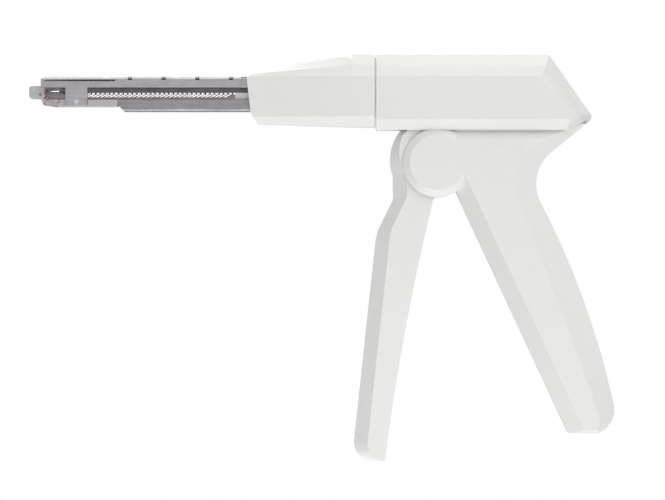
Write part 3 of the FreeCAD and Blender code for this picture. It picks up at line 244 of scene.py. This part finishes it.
class Paint(Nodes):
    """A material, with its shader and its Object coordinates."""

    def __init__(self, name, **uniform):
        self.material = bpy.data.materials.new(name)
        self.material.use_nodes = True
        super().__init__(self.material.node_tree)
        self.shader = self.tree.nodes["Principled BSDF"]
        for socket, value in uniform.items():
            self.shader.inputs[socket.replace("_", " ")].default_value = value
        self.place = self.node("ShaderNodeTexCoord", output="Object")

    def stretched(self, scale):
        return self.node("ShaderNodeMapping", Vector=self.place, Scale=scale)

    def along_x(self):
        return self.node("ShaderNodeSeparateXYZ", Vector=self.place)

    def noise(self, where, scale, detail, roughness):
        return self.node(
            "ShaderNodeTexNoise", Vector=where, Scale=scale, Detail=detail, Roughness=roughness
        )

    def mix(self, factor, first, second):
        made = self.tree.nodes.new("ShaderNodeMix")
        made.data_type = "RGBA"
        colours = [socket for socket in made.inputs if socket.type == "RGBA"]
        for socket, value in zip((made.inputs[0], *colours), (factor, first, second)):
            self.fill(socket, value)
        return Tap(self, next(socket for socket in made.outputs if socket.type == "RGBA"))

    def to(self, socket, value):
        self.tree.links.new(value.socket, self.shader.inputs[socket])

    def bump(self, height, strength, distance):
        self.to("Normal", self.node("ShaderNodeBump", Strength=strength, Distance=distance, Height=height))


# Materials


def rgb(r, g, b):
    return (r, g, b, 1.0)


def moulded_plastic(name, colour, shade, roughness, grain):
    """Matt moulded plastic: a fine spark-eroded grain, faint flow clouds and handling marks."""
    paint = Paint(name, IOR=1.5, Specular_IOR_Level=0.42)
    clouds = paint.noise(paint.place, scale=38.0, detail=3.0, roughness=0.55)
    marks = paint.noise(paint.stretched((1.0, 1.0, 2.6)), scale=160.0, detail=4.0, roughness=0.62)
    fine = paint.noise(paint.place, scale=5200.0, detail=2.0, roughness=0.6)
    coarse = paint.noise(paint.place, scale=1500.0, detail=2.0, roughness=0.5)
    soil = paint.spread(clouds, 0.42, 0.78) * 0.55 + paint.spread(marks, 0.55, 0.8) * 0.45
    paint.to("Base Color", paint.mix(soil.clamp(), colour, shade))
    paint.to("Roughness", roughness + paint.spread(marks, 0.3, 0.7, -0.05, 0.07) + (coarse - 0.5) * 0.06)
    paint.bump(fine * 0.6 + coarse * 0.4, grain, PLASTIC_RELIEF)
    return paint.material


def rolled_steel(name, colour, shade, roughness, stretch=ROLLED, scale=900.0):
    """Stainless steel with the fine lines of its rolling or drawing, lightly stained."""
    paint = Paint(name, Metallic=1.0)
    lines = paint.noise(paint.stretched(stretch), scale, detail=4.0, roughness=0.65)
    stains = paint.noise(paint.place, scale=220.0, detail=3.0, roughness=0.6)
    worn = paint.spread(lines, 0.35, 0.7) * 0.6 + paint.spread(stains, 0.4, 0.7) * 0.4
    paint.to("Base Color", paint.mix(worn.clamp(), colour, shade))
    paint.to("Roughness", roughness + paint.spread(lines, 0.3, 0.7, -0.07, 0.09) + (stains - 0.5) * 0.08)
    paint.bump(lines, 0.12, STEEL_RELIEF)
    return paint.material


def blotched_steel(name, colour, shade, tint, dark, roughness):
    """Rolled steel of the tip, with brownish blotches and dark specks just behind its front tab."""
    paint = Paint(name, Metallic=1.0)
    lines = paint.noise(paint.stretched((0.12, 1.7, 1.7)), scale=900.0, detail=4.0, roughness=0.65)
    blotches = paint.noise(paint.place, scale=330.0, detail=3.0, roughness=0.6)
    specks = paint.noise(paint.stretched((1.0, 1.0, 1.3)), scale=620.0, detail=2.0, roughness=0.5)
    near_tip = paint.spread(paint.along_x(), TINT_NONE_FROM, TINT_FULL_TO)
    near_tip = near_tip * paint.spread(paint.along_x(), TAB_PLAIN_TO, TINT_FULL_FROM)
    tinted = paint.spread(blotches, 0.44, 0.56) * near_tip
    spotted = paint.spread(specks, 0.56, 0.66) * near_tip
    plain = paint.mix(paint.spread(lines, 0.35, 0.7, 0.0, 0.6), colour, shade)
    paint.to("Base Color", paint.mix(spotted, paint.mix(tinted, plain, tint), dark))
    paint.to("Roughness", roughness + paint.spread(lines, 0.3, 0.7, -0.06, 0.08) + tinted * 0.08)
    paint.bump(lines * 0.6 + specks * 0.4, 0.14, STEEL_RELIEF)
    return paint.material


WHITE = rgb(0.80, 0.805, 0.79)
WHITE_SOILED = rgb(0.765, 0.77, 0.755)
SHELL_WHITE = moulded_plastic("shell_white", WHITE, WHITE_SOILED, roughness=0.44, grain=0.16)
TRIGGER_WHITE = moulded_plastic("trigger_white", WHITE, WHITE_SOILED, roughness=0.46, grain=0.16)
SLIDE_NATURAL = moulded_plastic("slide_natural", rgb(0.72, 0.72, 0.69), rgb(0.66, 0.66, 0.63), 0.38, 0.08)
SHEET_STEEL = rolled_steel("sheet_steel", rgb(0.40, 0.39, 0.40), rgb(0.27, 0.26, 0.275), 0.34)
# The bottom channel is the top rail's rolled steel drawn darker: painted shade under the arm.
CHANNEL_PAINTED_SHADE = rolled_steel("channel_steel", rgb(0.30, 0.295, 0.305), rgb(0.19, 0.185, 0.195), 0.36)
TIP_STEEL = blotched_steel(
    "tip_steel", colour=rgb(0.45, 0.44, 0.45), shade=rgb(0.324, 0.3168, 0.324), tint=rgb(0.36, 0.305, 0.30),
    dark=rgb(0.10, 0.085, 0.085), roughness=0.3,
)
TRACK_STEEL = rolled_steel("track_steel", rgb(0.27, 0.25, 0.27), rgb(0.16, 0.145, 0.165), 0.36)
# The driver blade is drawn near black: painted shade for the slot under the top rail.
DRIVER_PAINTED_SHADE = rolled_steel("driver_steel", rgb(0.13, 0.115, 0.135), rgb(0.07, 0.06, 0.075), 0.4)
BRIGHT_STEEL = rolled_steel("bright_steel", rgb(0.56, 0.56, 0.57), rgb(0.44, 0.44, 0.45), 0.24)
SPRING_STEEL = rolled_steel("spring_steel", rgb(0.50, 0.50, 0.52), rgb(0.40, 0.40, 0.42), 0.3, DRAWN, 1200.0)
STAPLE_WIRE = rolled_steel("staple_wire", rgb(0.84, 0.79, 0.78), rgb(0.72, 0.67, 0.66), 0.22, DRAWN, 1500.0)


# Making pieces


def placed(name, data):
    """A new object in the scene."""
    made = bpy.data.objects.new(name, data)
    bpy.context.scene.collection.objects.link(made)
    return made


def finished(obj, material, body, *nodes):
    """Gives a piece its material and its body, and hides the nodes it stands for."""
    obj.data.materials.clear()
    obj.data.materials.append(material)
    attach(obj, body)
    if nodes:
        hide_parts(*nodes)
    return obj


def evaluated_mesh(obj):
    """The mesh that an object makes with its modifiers or its curve's thickness."""
    graph = bpy.context.evaluated_depsgraph_get()
    return bpy.data.meshes.new_from_object(obj.evaluated_get(graph))


def apply_modifiers(obj):
    """Turns what an object's modifiers make into its own plain mesh."""
    mesh = evaluated_mesh(obj)
    obj.modifiers.clear()
    obj.data = mesh


def shade_smooth(mesh):
    for face in mesh.polygons:
        face.use_smooth = True


# Rigid pieces: the part's own solids with the edges of the real moulding, turning or sheet


def cad_copy(node, name):
    """A welded copy of a node's mesh, with its flat faces whole."""
    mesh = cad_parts[node].data.copy()
    mesh.name = name
    shape = bmesh.new()
    shape.from_mesh(mesh)
    bmesh.ops.remove_doubles(shape, verts=shape.verts, dist=WELD_WITHIN)
    bmesh.ops.dissolve_limit(
        shape, angle_limit=FLAT_WITHIN, verts=shape.verts, edges=shape.edges, delimit={"NORMAL"}
    )
    shape.to_mesh(mesh)
    shape.free()
    return placed(name, mesh)


def soft_edged(node, name, width, material, body):
    """A node's own shape with rounded edges."""
    made = cad_copy(node, name)
    bevel = made.modifiers.new("edges", "BEVEL")
    bevel.width = width
    bevel.segments = ROUND_STEPS
    bevel.limit_method = "ANGLE"
    bevel.angle_limit = ROUND_FROM
    bevel.miter_outer = "MITER_ARC"
    bevel.use_clamp_overlap = True
    apply_modifiers(made)
    shade_smooth(made.data)
    made.data.set_sharp_from_angle(angle=SHARP_FROM)
    normals = made.modifiers.new("normals", "WEIGHTED_NORMAL")
    normals.weight = FLAT_WEIGHT
    normals.keep_sharp = True
    apply_modifiers(made)
    finished(made, material, body, node)


# Node, name of the piece, edge, material and body
RIGID = (
    ("body_shell_left", "housing_left", SHELL_EDGE, SHELL_WHITE, "housing"),
    ("body_shell_right", "housing_right", SHELL_EDGE, SHELL_WHITE, "housing"),
    ("nose_shell_left", "head_left", SHELL_EDGE, SHELL_WHITE, "head"),
    ("nose_shell_right", "head_right", SHELL_EDGE, SHELL_WHITE, "head"),
    ("trigger", "squeeze_trigger", TRIGGER_EDGE, TRIGGER_WHITE, "trigger"),
    ("drive_slide", "slide_block", TURNED_EDGE, SLIDE_NATURAL, "slide"),
    ("driver_rod", "drive_rod", ROD_EDGE, BRIGHT_STEEL, "driver"),
    ("driver_strip", "driver_blade", SHEET_EDGE, DRIVER_PAINTED_SHADE, "driver"),
    ("pivot_pin", "trigger_pin", TURNED_EDGE, BRIGHT_STEEL, "housing"),
    ("drag_washer", "head_washer", WASHER_EDGE, SPRING_STEEL, "housing"),
    ("top_rail", "arm_top", SHEET_EDGE, SHEET_STEEL, "head"),
    ("arm_channel", "arm_bottom", SHEET_EDGE, CHANNEL_PAINTED_SHADE, "head"),
    ("head_frame", "tip_frame", SHEET_EDGE, TIP_STEEL, "head"),
    ("anvil_rail", "staple_track", SHEET_EDGE, TRACK_STEEL, "head"),
    ("arm_rivets", "cross_rivets", SHEET_EDGE, BRIGHT_STEEL, "head"),
    ("staple_pusher", "row_pusher", SHEET_EDGE, SLIDE_NATURAL, "pusher"),
)
for piece in RIGID:
    soft_edged(*piece)


# Thin sheet and a lip that the rigid nodes lack


def meshed(name, shape, material, body):
    """Turns a bmesh into a finished piece and frees it."""
    mesh = bpy.data.meshes.new(name)
    bmesh.ops.recalc_face_normals(shape, faces=shape.faces)
    shape.to_mesh(mesh)
    shape.free()
    finished(placed(name, mesh), material, body)


def sheet_plates(name, material, body, boxes):
    """Flat plates with softened edges as one piece, each from its two corners."""
    shape = bmesh.new()
    for low, high in boxes:
        low, high = Vector(low) * MM, Vector(high) * MM
        place = Matrix.Translation((low + high) / 2) @ Matrix.Diagonal((*(high - low), 1.0))
        bmesh.ops.create_cube(shape, size=1.0, matrix=place)
    thinnest = min(min(b - a for a, b in zip(low, high)) for low, high in boxes) * MM
    bmesh.ops.bevel(
        shape, geom=shape.edges[:], offset=thinnest * SHEET_ROUNDED, segments=2, profile=0.5, affect="EDGES"
    )
    meshed(name, shape, material, body)


def ray_length(corners, angle):
    """How far a ray from the axis goes to the closed outline of (across, up) corners."""
    ray = Vector((math.cos(angle), math.sin(angle)))
    for start, end in zip(corners, corners[1:] + corners[:1]):
        side = end - start
        turn = ray.cross(side)
        if abs(turn) > PARALLEL:
            length = start.cross(side) / turn
            share = start.cross(ray) / turn
            if length > 0 and -SIDE_SLACK <= share <= 1 + SIDE_SLACK:
                return length
    raise ValueError("the outline doesn't close round the axis")


def joint_lip():
    """Shallow lip on the housing's front face, which half fills the open joint behind the head."""
    half = [Vector(corner) * MM for corner in LIP_CORNERS]
    corners = half + [Vector((-across, up)) for across, up in reversed(half)]
    angles = {math.atan2(up, across) for across, up in corners}
    angles |= {math.radians(degrees) for degrees in range(-180, 180, LIP_STEP)}
    shape = bmesh.new()
    rings = []
    for x, inside in ((LIP_FRONT, False), (LIP_BACK, False), (LIP_BACK, True), (LIP_FRONT, True)):
        ring = []
        for angle in sorted(angles):
            length = LIP_HOLE if inside else ray_length(corners, angle)
            ring.append(shape.verts.new((x, length * math.cos(angle), length * math.sin(angle))))
        rings.append(ring)
    for ring, following in zip(rings, rings[1:] + rings[:1]):
        for i in range(len(ring)):
            j = (i + 1) % len(ring)
            shape.faces.new((ring[i], ring[j], following[j], following[i]))
    meshed("joint_lip", shape, SHELL_WHITE, "housing")


joint_lip()
sheet_plates("rail_tail", SHEET_STEEL, "head", RAIL_TAIL)
sheet_plates("cheek_liner", TIP_STEEL, "head", CHEEK_LINER)


# Staples by Geometry Nodes


class StapleTree(Nodes):
    """A geometry node tree with named inputs, which ends in one piece of staple wire."""

    def __init__(self, name, **sizes):
        super().__init__(bpy.data.node_groups.new(name, "GeometryNodeTree"))
        self.tree.interface.new_socket("Geometry", in_out="OUTPUT", socket_type="NodeSocketGeometry")
        for size, value in sizes.items():
            kind = "NodeSocketInt" if isinstance(value, int) else "NodeSocketFloat"
            self.tree.interface.new_socket(size, in_out="INPUT", socket_type=kind).default_value = value
        self.inputs = self.tree.nodes.new("NodeGroupInput")

    def size(self, name):
        return Tap(self, self.inputs.outputs[name])

    def piece(self, name, body, node, geometry):
        realized = self.node("GeometryNodeRealizeInstances", Geometry=geometry)
        painted = self.node("GeometryNodeSetMaterial", Geometry=realized, Material=STAPLE_WIRE)
        smooth = self.node("GeometryNodeSetShadeSmooth", Geometry=painted)
        self.fill(self.tree.nodes.new("NodeGroupOutput").inputs[0], smooth)
        made = placed(name, bpy.data.meshes.new(name))
        made.modifiers.new("build", "NODES").node_group = self.tree
        apply_modifiers(made)
        return finished(made, STAPLE_WIRE, body, node)


def open_line(name, points):
    """A curve of straight runs through points."""
    curve = bpy.data.curves.new(name, "CURVE")
    curve.dimensions = "3D"
    spline = curve.splines.new("POLY")
    spline.points.add(len(points) - 1)
    for point, place in zip(spline.points, points):
        point.co = (*place, 1)
    return placed(name, curve)


def staple_line():
    """Centre line of one staple: two legs towards -X and a crown whose front is at the origin."""
    half = STAPLE_HALF - WIRE / 2
    crown = -WIRE / 2
    leg = -STAPLE_LEG
    return open_line("staple_line", [(leg, -half, 0), (crown, -half, 0), (crown, half, 0), (leg, half, 0)])


def staples(name, node, line, count, lean, crown, height):
    """Staples in a row: one bent wire with pointed legs, repeated along the track."""
    tree = StapleTree(
        name, wire=WIRE, bend=STAPLE_BEND, count=count, pitch=STAPLE_PITCH, lean=math.radians(lean)
    )
    straight = tree.node("GeometryNodeObjectInfo", output="Geometry", Object=line)
    bent = tree.node(
        "GeometryNodeFilletCurve", {"mode": "POLY"},
        Curve=straight, Radius=tree.size("bend"), Count=BEND_POINTS,
    )
    spaced = tree.node("GeometryNodeResampleCurve", Curve=bent, Count=WIRE_POINTS)
    from_middle = tree.maths("ABSOLUTE", tree.node("GeometryNodeSplineParameter") - 0.5)
    chisel = tree.spread(from_middle, CHISEL_FROM, 0.5, 1.0, CHISEL_END)
    ring = tree.node(
        "GeometryNodeCurvePrimitiveCircle", Resolution=WIRE_SIDES, Radius=tree.size("wire") * 0.5
    )
    wire = tree.node(
        "GeometryNodeCurveToMesh", Curve=spaced, Profile_Curve=ring, Scale=chisel, Fill_Caps=True
    )
    step = tree.node("ShaderNodeCombineXYZ", X=tree.size("pitch"))
    places = tree.node(
        "GeometryNodeMeshLine", Count=tree.size("count"), Offset=step, Start_Location=(crown, 0, height)
    )
    turn = tree.node("ShaderNodeCombineXYZ", Y=tree.size("lean") * -1.0)
    repeated = tree.node("GeometryNodeInstanceOnPoints", Points=places, Instance=wire, Rotation=turn)
    return tree.piece(name, "head", node, repeated)


line = staple_line()
row = staples("staples_in_row", "staple_row", line, STAPLE_COUNT, STAPLE_LEAN, ROW_FRONT, ROW_HEIGHT)
chambered = staples("staple_in_chamber", "chambered_staple", line, 1, 0.0, CHAMBER_CROWN, CHAMBER_HEIGHT)
bpy.data.objects.remove(line)


# Springs


def wire_along(name, points, thickness, material):
    """Round wire along a line through points."""
    line = open_line(name, points)
    line.data.bevel_depth = thickness / 2
    line.data.bevel_resolution = SPRING_ROUNDNESS
    line.data.use_fill_caps = True
    mesh = evaluated_mesh(line)
    bpy.data.objects.remove(line)
    shade_smooth(mesh)
    mesh.materials.clear()
    mesh.materials.append(material)
    return placed(name, mesh)


def return_spring():
    """Torsion spring round the hub: one leg down the blade, 3 1/4 turns, one leg back to the housing."""
    points = [PIVOT + Vector((-COIL_RADIUS, COIL_START, -COIL_LEG_DOWN))]
    for i in range(round(COIL_TURNS * COIL_STEPS) + 1):
        turn = i / COIL_STEPS
        angle = math.pi - 2 * math.pi * turn
        across = COIL_START + COIL_PITCH * turn
        points.append(PIVOT + Vector((COIL_RADIUS * math.cos(angle), across, COIL_RADIUS * math.sin(angle))))
    points.append(points[-1] + Vector((COIL_LEG_BACK, 0, 0)))
    made = wire_along("hub_spring", points, COIL_WIRE, SPRING_STEEL)
    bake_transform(made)
    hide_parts("trigger_return_spring")


def feed_spring():
    """Coil spring in the track, closed at its ends, from the pusher's tab to the rear rivet."""
    low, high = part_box("pusher_spring")
    level = (low[2] + high[2]) / 2
    start = low[0] + FEED_WIRE / 2
    end = high[0] - FEED_WIRE / 2
    points = []
    for i in range(round((FEED_TURNS + 2) * FEED_STEPS) + 1):
        turn = i / FEED_STEPS
        share = min(max((turn - 1) / FEED_TURNS, 0.0), 1.0)
        x = start + FEED_CLOSED_PITCH * min(turn, 1.0) + (end - start - 2 * FEED_CLOSED_PITCH) * share
        x += FEED_CLOSED_PITCH * max(turn - 1 - FEED_TURNS, 0.0)
        angle = 2 * math.pi * turn
        points.append(Vector((x, FEED_RADIUS * math.cos(angle), level + FEED_RADIUS * math.sin(angle))))
    made = wire_along("track_spring", points, FEED_WIRE, SPRING_STEEL)
    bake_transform(made)
    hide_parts("pusher_spring")


return_spring()
feed_spring()
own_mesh(row)
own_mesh(chambered)


# Camera, light and backdrop


def picture_place(across, down):
    """A point of the photograph in the object's frame, in its middle plane."""
    return Vector(
        ((across - ORIGIN_AT[0]) * MM_PER_POINT * MM, 0, (ORIGIN_AT[1] - down) * MM_PER_POINT * MM)
    )


def make_camera():
    """Camera square to the left side, at the photograph's scale and frame."""
    data = bpy.data.cameras.new("camera")
    data.sensor_width = SENSOR_WIDTH
    data.lens = SENSOR_WIDTH * CAMERA_AWAY / (PICTURE[0] * MM_PER_POINT * MM)
    data.clip_start = CLIP_START
    data.clip_end = CLIP_END
    made = placed("camera", data)
    made.location = picture_place(PICTURE[0] / 2, PICTURE[1] / 2) + Vector((0, -CAMERA_AWAY, 0))
    made.rotation_euler = (math.radians(90), 0, 0)
    bpy.context.scene.camera = made


def make_world():
    """Fill light from all round, and plain white for the rays that the camera, a gloss or glass sends out."""
    world = bpy.data.worlds.new("studio")
    world.use_nodes = True
    bpy.context.scene.world = world
    nodes = Nodes(world.node_tree)
    tree = nodes.tree
    fill = tree.nodes["Background"]
    fill.inputs["Color"].default_value = rgb(1, 1, 1)
    fill.inputs["Strength"].default_value = WORLD_FILL
    white = nodes.node("ShaderNodeBackground", Color=rgb(1, 1, 1), Strength=1.0)
    rays = tree.nodes.new("ShaderNodeLightPath").outputs
    seen = Tap(nodes, rays["Is Camera Ray"])
    for ray in ("Is Glossy Ray", "Is Transmission Ray"):
        seen = nodes.maths("MAXIMUM", seen, Tap(nodes, rays[ray]))
    mix = tree.nodes.new("ShaderNodeMixShader")
    for socket, source in zip(mix.inputs, (seen.socket, fill.outputs[0], white.socket)):
        tree.links.new(source, socket)
    tree.links.new(mix.outputs[0], tree.nodes["World Output"].inputs[0])


def make_floor():
    """A pale floor well below the tool, out of the photograph's frame."""
    mesh = bpy.data.meshes.new("floor")
    shape = bmesh.new()
    bmesh.ops.create_grid(
        shape, x_segments=1, y_segments=1, size=FLOOR_HALF, matrix=Matrix.Translation(FLOOR_MIDDLE)
    )
    shape.to_mesh(mesh)
    shape.free()
    paint = Paint("floor_white", Roughness=0.8, Base_Color=rgb(FLOOR_WHITE, FLOOR_WHITE, FLOOR_WHITE))
    mesh.materials.append(paint.material)
    placed("floor", mesh)


def soft_box(name, place, width, height, power):
    """A soft light that faces the lit point and isn't seen itself."""
    data = bpy.data.lights.new(name, "AREA")
    data.shape = "RECTANGLE"
    data.size = width
    data.size_y = height
    data.energy = power
    made = placed(name, data)
    made.location = place
    made.rotation_euler = (LIT_POINT - Vector(place)).to_track_quat("-Z", "Y").to_euler()
    made.visible_camera = False


make_camera()
make_world()
make_floor()
for box in SOFT_BOXES:
    soft_box(*box)

bpy.context.scene.view_settings.view_transform = "Standard"
